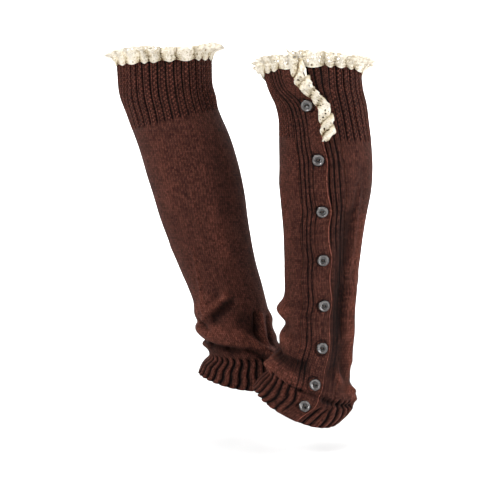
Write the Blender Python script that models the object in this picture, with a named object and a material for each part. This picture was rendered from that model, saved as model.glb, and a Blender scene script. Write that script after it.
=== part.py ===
"""A pair of knee-high knitted boot cuffs, worn by a walker: lace-topped tubes that button down the outer side.

+Z is up, the wearer faces -Y and the wearer's left is +X. The origin is halfway between the middles of the
two top bands, where the calves hold the cuffs up. Sizes and places are in millimetres until a mesh is made.

A place on a cuff is given by an angle, in degrees from its front towards its outer side, by a rise, which is
the length of cloth above the hem, and by a lift, which is how far it stands out from the cuff's own surface.
Both cuffs are one design, mirrored. They differ in how the legs hold and crease them.
"""

import math
from typing import NamedTuple

import bpy
import numpy as np
from mathutils import Matrix, Vector

MM = 0.001

# How the two cuffs stand to each other in the stride, from the middle of one top band to the other
KNEE_GAP = 114.0
STRIDE = 150.0
KNEE_LIFT = 11.0

# The cut
LENGTH = 440.0
ANKLE_RIB = 50.0
TOP_RIB = 85.0
KNIT = 2.2
LACE = 1.0
SEAM = 0.3
FRONT_BAND = 34.0
BACK_BAND_HIDDEN = 25.5
BACK_BAND_SEEN = 22.0

# How the front band lies over the back one
BAND_RISE = 3.2
BAND_EASE = 30.0
SCALLOP = 3.5
SCALLOP_REACH = 16.0

# The lace
LACE_HEIGHT = 13.0
LACE_FLARE = 8.0
LACE_RUFFLE = 2.5
LACE_WAVE = 19.0
LACE_TUCK = 6.0
LACE_SEAT = 0.6
FLAP_LACE_WIDTH = 13.0
FLAP_LACE_LOW = 350.0
FLAP_LACE_HIGH = 432.0
FLAP_LACE_LIFT = 2.2
FLAP_LACE_GAP = 0.9

# The buttons
BUTTON_INSET = 11.0
BUTTON_GAP = 0.5
BUTTON_RADIUS = 7.0
BUTTON_RISES = [393.0, 332.0, 270.0, 208.0, 151.0, 103.0, 68.0, 33.0]
BUTTON_SIDES = 16

# Rows of cloth from hem to rim, closer together where the ankle folds are
ANKLE_ROWS = [0.0, 12.0, 25.0, 38.0, ANKLE_RIB]
LOW_LEG_ROWS = [ANKLE_RIB, 58.0, 66.0, 75.0, 85.0, 97.0, 110.0, 128.0]
HIGH_LEG_ROWS = [151.0, 180.0, 208.0, 238.0, 268.0, 298.0, 329.0, LENGTH - TOP_RIB]
LEG_ROWS = LOW_LEG_ROWS + HIGH_LEG_ROWS
TOP_ROWS = [LENGTH - TOP_RIB, 374.0, 393.0, 409.0, 424.0, LENGTH]
PANEL_COLUMNS = 24


class Section(NamedTuple):
    """One level of a cuff: its middle's height and place from the top band's middle, and its two half widths."""

    rise: float
    up: float
    forward: float
    side: float
    front: float


class Tilt(NamedTuple):
    """How much higher than its middle a level is at the front, at the outer side, and at front and back both."""

    rise: float
    front: float
    outer: float
    ends: float


class Edge(NamedTuple):
    """The angle of the closing line at one level, and how far the front flap's edge falls back from it."""

    rise: float
    line: float
    fall_back: float


class Fold(NamedTuple):
    """A soft ridge across the cloth from one place to another, or a trough where its height is negative."""

    from_angle: float
    from_rise: float
    to_angle: float
    to_rise: float
    width: float
    height: float


class Cuff(NamedTuple):
    """One cuff: its side, its top band's middle, how far it is turned outwards on the leg, and its form."""

    name: str
    side: int
    seat: tuple
    turn: float
    sections: list
    tilts: list
    folds: list


CLOSING = [
    Edge(0, 62, 0),
    Edge(33, 65, 0),
    Edge(68, 72, 0),
    Edge(103, 78, 0),
    Edge(151, 77, 0),
    Edge(208, 69, 0),
    Edge(268, 62.5, 0),
    Edge(332, 56.5, 0),
    Edge(391, 48.5, 0),
    Edge(401, 48, 4),
    Edge(412, 47.5, 10.5),
    Edge(422, 47, 12.5),
    Edge(440, 46, 12),
]

LEFT_SECTIONS = [
    Section(0, -373, 31, 46, 57),
    Section(25, -361, 16, 45, 62),
    Section(50, -350, 8.7, 44, 55.5),
    Section(62, -340, 8.8, 44, 55.5),
    Section(76, -325, 7.7, 41.5, 50.5),
    Section(92, -307, 4, 38.5, 45.5),
    Section(121, -274, 0, 37, 45),
    Section(141, -255, 0, 38, 47),
    Section(166, -232, -4, 38.5, 47),
    Section(192, -206, -5.8, 40.5, 49),
    Section(241, -157, -9, 45, 52.8),
    Section(302, -97, -11.4, 53, 59.2),
    Section(349, -50, -9.5, 53, 58.5),
    Section(376, -23, -7, 52, 56.5),
    Section(396, -5, -3, 53, 57),
    Section(414, 11, 4, 54.5, 58.2),
    Section(440, 32, 10, 57, 60),
]
LEFT_TILTS = [
    Tilt(0, 15, -17, 3),
    Tilt(25, 14, -18, 1),
    Tilt(50, 13, -16, 0),
    Tilt(62, 12, -14, 0),
    Tilt(76, 12, -12, 0),
    Tilt(92, 10, -9, 0),
    Tilt(121, 3, -3, 0),
    Tilt(151, 0, 0, 0),
    Tilt(376, 0, 0, 0),
    Tilt(414, 2, 5, 0),
    Tilt(440, 4, 10, 0),
]
LEFT_FOLDS = [
    Fold(-75, 66, 40, 60, 8, 2.5),
    Fold(-40, 82, 45, 78, 9, -3),
    Fold(-60, 142, -10, 138, 12, 6.5),
    Fold(-55, 119, 0, 116, 9, -3),
    Fold(-60, 101, 5, 97, 9, 2.5),
    Fold(91, 262, 96, 84, 11, -4),
    Fold(118, 250, 124, 84, 12, 3),
    Fold(150, 118, 190, 110, 11, 2.5),
    Fold(-120, 130, -160, 84, 12, 3.5),
    Fold(-100, 108, -150, 66, 10, -3),
    Fold(140, 52, 205, 50, 10, 2),
]

RIGHT_SECTIONS = [
    Section(0, -370, -118, 46, 70),
    Section(25, -356, -118, 44, 63.5),
    Section(50, -341, -118, 41.5, 52),
    Section(62, -330, -112, 42, 54),
    Section(85, -307, -102, 40, 50),
    Section(110, -283, -95, 40, 49),
    Section(128, -265, -90, 40, 49),
    Section(149, -245, -83, 41.5, 50),
    Section(177, -218, -73, 42, 51.5),
    Section(222, -175, -58, 47.5, 56),
    Section(283, -116, -42.5, 54, 60.5),
    Section(328, -73, -29.5, 55, 61),
    Section(354, -48, -20, 54.5, 60),
    Section(374, -29, -11.5, 54, 58.3),
    Section(396, -8, -3, 54, 57.2),
    Section(440, 40, 1, 55, 57.5),
]
RIGHT_TILTS = [
    Tilt(0, 2, 8, 4),
    Tilt(25, 2, 6, 3),
    Tilt(50, 1, 3, 1),
    Tilt(95, 0, 0, 0),
    Tilt(354, 0, 0, 0),
    Tilt(396, -2, 0, 0),
    Tilt(440, -4, -1, 0),
]
RIGHT_FOLDS = [
    Fold(24, 108, -32, 132, 8, 3),
    Fold(-4, 103, -54, 124, 8, -3.5),
    Fold(-8, 84, -46, 84, 13, 3),
    Fold(15, 64, -54, 66, 7, -3.5),
    Fold(-64, 82, -108, 64, 9, 3.5),
    Fold(-82, 108, -94, 76, 9, -3.5),
    Fold(60, 90, 14, 88, 9, 4),
    Fold(55, 117, 28, 118, 8, 1),
    Fold(120, 190, 150, 90, 12, 3.5),
    Fold(95, 150, 130, 74, 10, -3),
    Fold(150, 20, 205, 24, 14, 3),
    Fold(-165, 398, -135, 396, 10, 2.5),
]

RIGHT_TURN = 24.0
LEFT_SEAT = (KNEE_GAP / 2, STRIDE / 2, -KNEE_LIFT / 2)
RIGHT_SEAT = (-KNEE_GAP / 2, -STRIDE / 2, KNEE_LIFT / 2)
LEFT = Cuff("left", 1, LEFT_SEAT, 0.0, LEFT_SECTIONS, LEFT_TILTS, LEFT_FOLDS)
RIGHT = Cuff("right", -1, RIGHT_SEAT, RIGHT_TURN, RIGHT_SECTIONS, RIGHT_TILTS, RIGHT_FOLDS)


def read(table, column, rise):
    """The smooth curve through one column of a table: a cubic between rows, level with its neighbours' slope."""
    rise = np.clip(rise, 0, LENGTH)
    rises = np.array([row.rise for row in table], float)
    values = np.array([getattr(row, column) for row in table], float)
    slopes = np.gradient(values, rises)
    low = np.clip(np.searchsorted(rises, rise, side="right") - 1, 0, len(rises) - 2)
    span = rises[low + 1] - rises[low]
    t = (rise - rises[low]) / span
    return (
        values[low] * (1 + 2 * t) * (1 - t) ** 2
        + values[low + 1] * t**2 * (3 - 2 * t)
        + slopes[low] * span * t * (1 - t) ** 2
        + slopes[low + 1] * span * t**2 * (t - 1)
    )


def smooth_step(t):
    """0 below 0, 1 above 1, and an S-shaped curve between."""
    t = np.clip(t, 0, 1)
    return t * t * (3 - 2 * t)


def radius(cuff, rise):
    """The mean radius of a level, which turns a length of cloth round the leg into an angle."""
    return np.hypot(read(cuff.sections, "side", rise), read(cuff.sections, "front", rise)) / math.sqrt(2)


def degrees_of(cuff, rise, length):
    """The angle that a length of cloth takes round the leg at one level."""
    return np.degrees(length / radius(cuff, rise))


def closing_line(cuff, rise):
    return read(CLOSING, "line", rise) + cuff.turn


def flap_edge(cuff, rise):
    """The front flap's edge: it follows the closing line, bows out at each button and falls back at the top."""
    bow = sum(SCALLOP * np.exp(-(((rise - button) / SCALLOP_REACH) ** 2)) for button in BUTTON_RISES)
    return closing_line(cuff, rise) - read(CLOSING, "fall_back", rise) + degrees_of(cuff, rise, bow)


def fold_height(cuff, angle, rise):
    """All the folds at one place, each fading with its distance from the line that it runs along."""
    height = np.zeros(np.broadcast(angle, rise).shape)
    for fold in cuff.folds:
        around = math.radians(1) * radius(cuff, rise)
        x = ((angle - fold.from_angle + 180) % 360 - 180) * around
        y = rise - fold.from_rise
        run = (fold.to_angle - fold.from_angle) * around
        climb = fold.to_rise - fold.from_rise
        along = np.clip((x * run + y * climb) / (run**2 + climb**2), 0, 1)
        apart = np.hypot(x - along * run, y - along * climb)
        height += fold.height * np.exp(-((apart / fold.width) ** 2))
    return height


def panel_lift(cuff, angle, rise):
    """How far the panel is raised as it nears the front band, which lies over the back one."""
    start = flap_edge(cuff, rise) + 360 - degrees_of(cuff, rise, FRONT_BAND)
    before = np.radians(start - angle) * radius(cuff, rise)
    return BAND_RISE * smooth_step(1 - before / BAND_EASE)


def place(cuff, angle, rise, lift):
    """World points, in metres, of places on a cuff. Above the rim they go straight on up."""
    angle, rise, lift = np.broadcast_arrays(angle, rise, lift)
    sine = np.sin(np.radians(angle))
    cosine = np.cos(np.radians(angle))
    side = read(cuff.sections, "side", rise)
    front = read(cuff.sections, "front", rise)
    steep = np.hypot(sine / side, cosine / front)
    stand = lift + fold_height(cuff, angle, rise)
    outward = side * sine + stand * sine / side / steep
    forward = read(cuff.sections, "forward", rise) + front * cosine + stand * cosine / front / steep
    up = (
        read(cuff.sections, "up", rise)
        + read(cuff.tilts, "front", rise) * cosine
        + read(cuff.tilts, "outer", rise) * sine
        + read(cuff.tilts, "ends", rise) * np.cos(np.radians(2 * angle))
        + np.maximum(rise - LENGTH, 0)
    )
    x, y, z = cuff.seat
    return MM * np.stack([x + cuff.side * outward, y - forward, z + up], axis=-1)


def material(name, colour, roughness):
    """A Principled material of one colour."""
    made = bpy.data.materials.new(name)
    made.use_nodes = True
    shader = made.node_tree.nodes["Principled BSDF"]
    shader.inputs["Base Color"].default_value = (*colour, 1)
    shader.inputs["Roughness"].default_value = roughness
    made.diffuse_color = (*colour, 1)
    return made


def add_object(name, mesh, surface):
    mesh.materials.append(surface)
    made = bpy.data.objects.new(name, mesh)
    bpy.context.scene.collection.objects.link(made)
    return made


def add_wall(cuff, name, outer, inner, surface):
    """A closed wall between two grids of points, (rows, columns, 3), joined round their border."""
    rows, columns = outer.shape[:2]
    index = np.arange(rows * columns).reshape(rows, columns)
    back = rows * columns
    skin = np.stack([index[:-1, :-1], index[:-1, 1:], index[1:, 1:], index[1:, :-1]], axis=-1).reshape(-1, 4)
    border = np.concatenate([index[0, :-1], index[:-1, -1], index[-1, :0:-1], index[:0:-1, 0]])
    after = np.roll(border, -1)
    sides = np.stack([after, border, border + back, after + back], axis=-1)
    faces = np.concatenate([skin, skin[:, ::-1] + back, sides])
    if cuff.side < 0:
        faces = faces[:, ::-1]
    points = np.concatenate([outer.reshape(-1, 3), inner.reshape(-1, 3)])
    mesh = bpy.data.meshes.new(name)
    mesh.from_pydata(points.tolist(), [], faces.tolist())
    mesh.shade_smooth()
    mesh.set_sharp_from_angle(angle=math.radians(50))
    return add_object(f"{cuff.name}_{name}", mesh, surface)


def trimmed(rows, low=SEAM / 2, high=SEAM / 2):
    """The rows of one piece, with its two ends drawn in by half a seam."""
    return np.array([rows[0] + low, *rows[1:-1], rows[-1] - high])[:, None]


def add_panel(cuff, name, rise, surface):
    """A piece of the main panel, from behind the back band round the leg to the front band."""
    first = closing_line(cuff, rise) + degrees_of(cuff, rise, BACK_BAND_SEEN)
    last = flap_edge(cuff, rise) + 360 - degrees_of(cuff, rise, FRONT_BAND + SEAM)
    angle = first + (last - first) * np.linspace(0, 1, PANEL_COLUMNS + 1)
    lift = panel_lift(cuff, angle, rise)
    return add_wall(cuff, name, place(cuff, angle, rise, lift), place(cuff, angle, rise, lift - KNIT), surface)


def band_rows():
    """The rows of the two long bands: the panel pieces' own rows, so that every seam's two sides match."""
    return np.concatenate([trimmed(ANKLE_ROWS, low=0), trimmed(LEG_ROWS), trimmed(TOP_ROWS, high=0)])


def add_front_band(cuff, surface):
    """The buttonhole band, whose free edge bows out at each button."""
    rise = band_rows()
    edge = flap_edge(cuff, rise)
    seam = edge - degrees_of(cuff, rise, FRONT_BAND)
    angle = seam + (edge - seam) * np.linspace(0, 1, 7)
    outer = place(cuff, angle, rise, BAND_RISE)
    return add_wall(cuff, "front_band", outer, place(cuff, angle, rise, BAND_RISE - KNIT), surface)


def add_back_band(cuff, surface):
    """The button band, which lies under the front one and joins the panel behind it."""
    rise = band_rows()
    length = np.linspace(-BACK_BAND_HIDDEN, BACK_BAND_SEEN - SEAM, 8)
    angle = closing_line(cuff, rise) + degrees_of(cuff, rise, length)
    return add_wall(cuff, "back_band", place(cuff, angle, rise, 0), place(cuff, angle, rise, -KNIT), surface)


def add_top_lace(cuff, surface):
    """The gathered lace that stands up and flares out from the rim."""
    first = closing_line(cuff, LENGTH) - degrees_of(cuff, LENGTH, LACE_TUCK)
    last = flap_edge(cuff, LENGTH) + 360
    angle = np.linspace(first, last, 57)[None, :]
    length = np.radians(angle) * radius(cuff, LENGTH)
    ruffle = LACE_RUFFLE * np.sin(2 * math.pi * length / LACE_WAVE)
    height = LACE_HEIGHT + 0.6 * ruffle
    reach = np.array([[0.0], [0.5], [1.0]])
    rise = LENGTH + 1.4 * SEAM + height * reach
    lift = panel_lift(cuff, angle, LENGTH) - LACE_SEAT + LACE_FLARE * reach**1.5 + ruffle * reach
    outer = place(cuff, angle, rise, lift)
    return add_wall(cuff, "top_lace", outer, place(cuff, angle, rise, lift - LACE), surface)


def add_flap_lace(cuff, surface):
    """The same lace down the flap's edge, from the rim to above the second button."""
    rise = np.linspace(FLAP_LACE_LOW, FLAP_LACE_HIGH, 21)[:, None]
    rows = band_rows()[:, 0]
    edge = np.interp(rise, rows, flap_edge(cuff, rows))
    reach = np.linspace(0, 1, 3)
    width = FLAP_LACE_GAP + FLAP_LACE_WIDTH * smooth_step((rise - FLAP_LACE_LOW + 4) / 16) * reach
    angle = edge + degrees_of(cuff, rise, width)
    wave = 1 + np.sin(2 * math.pi * rise / LACE_WAVE)
    lift = FLAP_LACE_LIFT + LACE_RUFFLE * wave * reach
    outer = place(cuff, angle, rise, lift)
    return add_wall(cuff, "flap_lace", outer, place(cuff, angle, rise, lift - LACE), surface)


def button_mesh():
    """A dished button turned from its profile: a flat back, a round rim and a sunk middle."""
    profile = [(5.6, 0.0), (BUTTON_RADIUS, 0.9), (BUTTON_RADIUS, 2.3), (6.1, 3.2), (4.6, 2.4)]
    turn = 2 * math.pi / BUTTON_SIDES
    points = [
        (MM * reach * math.cos(turn * k), MM * reach * math.sin(turn * k), MM * height)
        for reach, height in profile
        for k in range(BUTTON_SIDES)
    ]
    last = (len(profile) - 1) * BUTTON_SIDES
    faces = []
    for ring in range(0, last, BUTTON_SIDES):
        for k in range(BUTTON_SIDES):
            after = (k + 1) % BUTTON_SIDES
            faces.append((ring + k, ring + after, ring + BUTTON_SIDES + after, ring + BUTTON_SIDES + k))
    faces.append(tuple(reversed(range(BUTTON_SIDES))))
    faces.append(tuple(range(last, last + BUTTON_SIDES)))
    mesh = bpy.data.meshes.new("button")
    mesh.from_pydata(points, [], faces)
    mesh.shade_smooth()
    mesh.set_sharp_from_angle(angle=math.radians(40))
    return mesh


def button_seat(cuff, rise):
    """A button's frame: its Z stands out of the band, and it clears the highest cloth under it."""
    angle = flap_edge(cuff, rise) - degrees_of(cuff, rise, BUTTON_INSET)
    step = degrees_of(cuff, rise, BUTTON_RADIUS)
    beside = [Vector(place(cuff, angle + turn, rise, BAND_RISE)) for turn in (-step, step)]
    level = [Vector(place(cuff, angle, rise + reach, BAND_RISE)) for reach in (-BUTTON_RADIUS, BUTTON_RADIUS)]
    across = beside[1] - beside[0]
    along = level[1] - level[0]
    out = (cuff.side * across.cross(along)).normalized()
    middle = Vector(place(cuff, angle, rise, BAND_RISE))
    turn, reach = np.meshgrid(np.linspace(0, 2 * math.pi, 24), [2.0, 4.5, BUTTON_RADIUS])
    around = angle + degrees_of(cuff, rise, reach * np.cos(turn))
    under = place(cuff, around, rise + reach * np.sin(turn), BAND_RISE)
    clear = float(np.max((under.reshape(-1, 3) - np.array(middle)) @ np.array(out)))
    along = (along - along.dot(out) * out).normalized()
    seat = middle + (max(clear, 0) + BUTTON_GAP * MM) * out
    return Matrix.Translation(seat) @ Matrix((along.cross(out), along, out)).transposed().to_4x4()


def add_cuff(cuff, knit, rib, lace, horn):
    add_panel(cuff, "ankle_rib", trimmed(ANKLE_ROWS, low=0), rib)
    add_panel(cuff, "leg", trimmed(LEG_ROWS), knit)
    add_panel(cuff, "top_rib", trimmed(TOP_ROWS, high=0), rib)
    add_front_band(cuff, rib)
    add_back_band(cuff, rib)
    add_top_lace(cuff, lace)
    add_flap_lace(cuff, lace)
    for number, rise in enumerate(BUTTON_RISES, start=1):
        button = add_object(f"{cuff.name}_button_{number}", button_mesh(), horn)
        button.matrix_world = button_seat(cuff, rise)


def main():
    for old in list(bpy.data.objects):
        bpy.data.objects.remove(old)
    knit = material("stocking_stitch", (0.078, 0.025, 0.019), 0.9)
    rib = material("rib_knit", (0.05, 0.016, 0.012), 0.9)
    lace = material("cream_lace", (0.68, 0.58, 0.45), 0.85)
    horn = material("grey_button", (0.09, 0.085, 0.085), 0.25)
    for cuff in (LEFT, RIGHT):
        add_cuff(cuff, knit, rib, lace, horn)


main()
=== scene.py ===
# %% [markdown]
# # A pair of knitted boot cuffs
# Two knitted tubes that reach from just under the knee to the ankle, over a shoe's opening. Each is one
# sweater-like cloth: stocking stitch down the leg, a deep rib at the top and at the ankle to grip, two ribbed
# bands down the outer side that button together, and gathered crochet lace round the rim. They are worn by a
# walker, so the left one stands behind the right one and both crease at the ankle. The legs aren't built.
#
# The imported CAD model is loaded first, as a fixed frame in metres. Every cloth piece below stands in the
# place of one of its solids, and adds what a solid of that size can't hold: ribs, stitches, creases, holes.

# %% Load the frame
import math
from typing import NamedTuple

import bpy
import numpy as np
from mathutils import Matrix, Vector


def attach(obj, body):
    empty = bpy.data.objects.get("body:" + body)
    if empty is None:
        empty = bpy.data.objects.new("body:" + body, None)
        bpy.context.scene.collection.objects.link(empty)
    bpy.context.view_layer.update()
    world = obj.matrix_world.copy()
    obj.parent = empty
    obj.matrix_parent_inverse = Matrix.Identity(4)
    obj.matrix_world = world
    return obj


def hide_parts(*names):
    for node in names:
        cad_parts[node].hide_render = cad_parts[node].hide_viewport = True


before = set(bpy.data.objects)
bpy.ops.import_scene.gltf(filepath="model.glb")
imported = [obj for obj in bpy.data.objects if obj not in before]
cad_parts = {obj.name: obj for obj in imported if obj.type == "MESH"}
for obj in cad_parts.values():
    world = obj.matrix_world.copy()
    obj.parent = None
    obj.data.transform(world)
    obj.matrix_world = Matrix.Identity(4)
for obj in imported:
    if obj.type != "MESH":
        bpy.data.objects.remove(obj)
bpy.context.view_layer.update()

# %% [markdown]
# ## Camera, floor and light
# A long lens from the wearer's left front, a little above the middle of the leg, keeps the two tubes nearly
# parallel. The light is a dim white room with a large soft lamp high on the left and a weaker one low on
# the right, which leaves the knit's furrows dark and its ridges softly lit. Two more lamps whiten the floor
# and the wall that it bends up into. The floor lies where the wearer's soles would.

# %% Camera
CAMERA_PLACE = (1.2349, -0.7452, -0.0255)
CAMERA_AZIMUTH = math.radians(59)
CAMERA_ELEVATION = math.radians(6)
CAMERA_LENS = 87.5
FLOOR_HEIGHT = -0.4355

scene = bpy.context.scene
camera = bpy.data.objects.new("camera", bpy.data.cameras.new("camera"))
camera.data.lens = CAMERA_LENS
camera.data.sensor_width = 36
camera.data.clip_start = 0.05
camera.location = CAMERA_PLACE
camera.rotation_euler = (math.pi / 2 - CAMERA_ELEVATION, 0, CAMERA_AZIMUTH)
scene.collection.objects.link(camera)
scene.camera = camera
scene.view_settings.view_transform = "Standard"


# %% Light
def add_lamp(name, right, ahead, up, size, power, aim=(0, 0, -0.15)):
    """A square soft lamp, placed by metres to the right of the view, ahead of the middle and up from it."""
    across = Vector((math.cos(CAMERA_AZIMUTH), math.sin(CAMERA_AZIMUTH), 0))
    away = Vector((-math.sin(CAMERA_AZIMUTH), math.cos(CAMERA_AZIMUTH), 0))
    lamp = bpy.data.objects.new(name, bpy.data.lights.new(name, "AREA"))
    lamp.data.size = size
    lamp.data.energy = power
    lamp.location = right * across - ahead * away + Vector((0, 0, up))
    lamp.rotation_euler = (lamp.location - Vector(aim)).to_track_quat("Z", "Y").to_euler()
    scene.collection.objects.link(lamp)


add_lamp("key_lamp", right=-1.2, ahead=1.2, up=1.2, size=0.9, power=36)
add_lamp("fill_lamp", right=1.6, ahead=0.35, up=0.3, size=1.0, power=20)
add_lamp("wall_lamp", right=0.0, ahead=-2.2, up=2.0, size=2.5, power=170, aim=(-4.0, 2.4, 0.4))
add_lamp("floor_lamp", right=0.3, ahead=-1.6, up=1.6, size=2.4, power=34, aim=(-1.3, 0.8, -0.4))

world = bpy.data.worlds.new("white_room")
world.use_nodes = True
world.node_tree.nodes["Background"].inputs["Color"].default_value = (1, 1, 1, 1)
world.node_tree.nodes["Background"].inputs["Strength"].default_value = 0.3
scene.world = world


# %% Helpers for materials
def colour(code):
    """An sRGB colour as linear RGBA: c/12.92 up to 0.04045, and ((c + 0.055)/1.055)^2.4 above it."""
    values = np.array([int(code[i : i + 2], 16) / 255 for i in (1, 3, 5)])
    linear = np.where(values <= 0.04045, values / 12.92, ((values + 0.055) / 1.055) ** 2.4)
    return (*linear.tolist(), 1.0)


def add_node(tree, kind, inputs=None, **settings):
    """A node of one kind. A setting is a property's value; an input is a value, or a socket to link to it."""
    made = tree.nodes.new("ShaderNode" + kind)
    for name, value in settings.items():
        setattr(made, name, value)
    for key, value in (inputs or {}).items():
        if isinstance(value, bpy.types.NodeSocket):
            tree.links.new(value, made.inputs[key])
        else:
            made.inputs[key].default_value = value
    return made


def set_stops(ramp, stops):
    """Set a ramp's stops, each a position and a colour: the lowest one, the highest, then any between."""
    for element, (position, code) in zip(ramp.color_ramp.elements, stops[:2]):
        element.color = colour(code)
        element.position = position
    for position, code in stops[2:]:
        ramp.color_ramp.elements.new(position).color = colour(code)


def new_material(name, roughness, specular):
    """A material with its tree and its shader, both still plain."""
    made = bpy.data.materials.new(name)
    made.use_nodes = True
    shader = made.node_tree.nodes["Principled BSDF"]
    shader.inputs["Roughness"].default_value = roughness
    shader.inputs["Specular IOR Level"].default_value = specular
    return made, made.node_tree, shader


# %% A piece from points and faces
def new_piece(name, points, faces, material):
    """A smooth mesh in one material, and the object that shows it."""
    mesh = bpy.data.meshes.new(name)
    mesh.from_pydata(points.tolist(), [], faces)
    mesh.materials.append(material)
    mesh.shade_smooth()
    made = bpy.data.objects.new(name, mesh)
    scene.collection.objects.link(made)
    return made


# %% Floor
FLOOR_REACH = 3.0
FLOOR_BEND = 1.5
WALL_TOP = 3.6
FLOOR_SIDES = 96


def add_floor():
    """A flat disc that bends up into a wall all round, 4.5 m away: one profile turned about the middle."""
    bend = np.linspace(0, math.pi / 2, 13)
    wall = FLOOR_REACH + FLOOR_BEND
    reach = np.concatenate([[0.5], FLOOR_REACH + FLOOR_BEND * np.sin(bend), [wall]])[:, None]
    height = np.concatenate([[0.0], FLOOR_BEND - FLOOR_BEND * np.cos(bend), [WALL_TOP]])[:, None]
    turn = np.linspace(0, 2 * math.pi, FLOOR_SIDES, endpoint=False)[None, :]
    x = reach * np.cos(turn)
    y = reach * np.sin(turn)
    points = np.stack(np.broadcast_arrays(x, y, FLOOR_HEIGHT + height), axis=-1)
    index = np.arange(points.shape[0] * FLOOR_SIDES).reshape(-1, FLOOR_SIDES)
    after = np.roll(index, -1, axis=1)
    faces = np.stack([index[:-1], after[:-1], after[1:], index[1:]], axis=-1)[:, :, ::-1]
    faces = faces.reshape(-1, 4).tolist() + [index[0].tolist()]
    # Matte white paper: an even pale ground that takes soft shadows
    paper, _, shader = new_material("white_paper", 0.9, 0.2)
    shader.inputs["Base Color"].default_value = colour("#fbfbfb")
    floor = new_piece("floor", points.reshape(-1, 3), faces, paper)


add_floor()

# %% [markdown]
# ## The form of a cuff
# A worn tube is easiest to describe in its own terms. A place on it is an angle, in degrees from the front
# towards the outer side, a rise, which is the length of cloth above the hem in millimetres, and a lift, which
# is how far it stands out from the leg. Tables give each level's height, place and two half widths, how much
# it tilts, and where soft folds run across the cloth. They are the CAD model's own tables, so that the cloth
# lies exactly where its solids do. Only the creases are added here: small folds, on all sides.

# %% The cut, in millimetres
MM = 0.001
LENGTH = 440.0
ANKLE_RIB = 50.0
TOP_RIB = 85.0
KNIT = 2.2
FRONT_BAND = 34.0
BACK_BAND_HIDDEN = 25.5
BACK_BAND_SEEN = 22.0
BAND_RISE = 3.2
BAND_EASE = 30.0
SCALLOP = 3.5
SCALLOP_REACH = 16.0
BUTTON_RISES = [393.0, 332.0, 270.0, 208.0, 151.0, 103.0, 68.0, 33.0]
BUTTON_INSET = 11.0
BUTTON_RADIUS = 7.0
BUTTON_GAP = 0.5

# %% The tables
# Rise, angle of the closing line, and how many degrees the front flap falls back from it
CLOSING = [
    (0, 62, 0), (33, 65, 0), (68, 72, 0), (103, 78, 0), (151, 77, 0), (208, 69, 0), (268, 62.5, 0),
    (332, 56.5, 0), (391, 48.5, 0), (401, 48, 4), (412, 47.5, 10.5), (422, 47, 12.5), (440, 46, 12),
]
# Rise, height, forward, half width to the side, half width to the front
LEFT_LEVELS = [
    (0, -373, 31, 46, 57), (25, -361, 16, 45, 62), (50, -350, 8.7, 44, 55.5), (62, -340, 8.8, 44, 55.5),
    (76, -325, 7.7, 41.5, 50.5), (92, -307, 4, 38.5, 45.5), (121, -274, 0, 37, 45), (141, -255, 0, 38, 47),
    (166, -232, -4, 38.5, 47), (192, -206, -5.8, 40.5, 49), (241, -157, -9, 45, 52.8),
    (302, -97, -11.4, 53, 59.2), (349, -50, -9.5, 53, 58.5), (376, -23, -7, 52, 56.5), (396, -5, -3, 53, 57),
    (414, 11, 4, 54.5, 58.2), (440, 32, 10, 57, 60),
]
RIGHT_LEVELS = [
    (0, -370, -118, 46, 70), (25, -356, -118, 44, 63.5), (50, -341, -118, 41.5, 52), (62, -330, -112, 42, 54),
    (85, -307, -102, 40, 50), (110, -283, -95, 40, 49), (128, -265, -90, 40, 49), (149, -245, -83, 41.5, 50),
    (177, -218, -73, 42, 51.5), (222, -175, -58, 47.5, 56), (283, -116, -42.5, 54, 60.5),
    (328, -73, -29.5, 55, 61), (354, -48, -20, 54.5, 60), (374, -29, -11.5, 54, 58.3),
    (396, -8, -3, 54, 57.2), (440, 40, 1, 55, 57.5),
]
# Rise, and how much higher a level is at its front, at its outer side, and at its front and back both
LEFT_TILTS = [
    (0, 15, -17, 3), (25, 14, -18, 1), (50, 13, -16, 0), (62, 12, -14, 0), (76, 12, -12, 0), (92, 10, -9, 0),
    (121, 3, -3, 0), (151, 0, 0, 0), (376, 0, 0, 0), (414, 2, 5, 0), (440, 4, 10, 0),
]
RIGHT_TILTS = [
    (0, 2, 8, 4), (25, 2, 6, 3), (50, 1, 3, 1), (95, 0, 0, 0), (354, 0, 0, 0), (396, -2, 0, 0),
    (440, -4, -1, 0),
]
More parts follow.
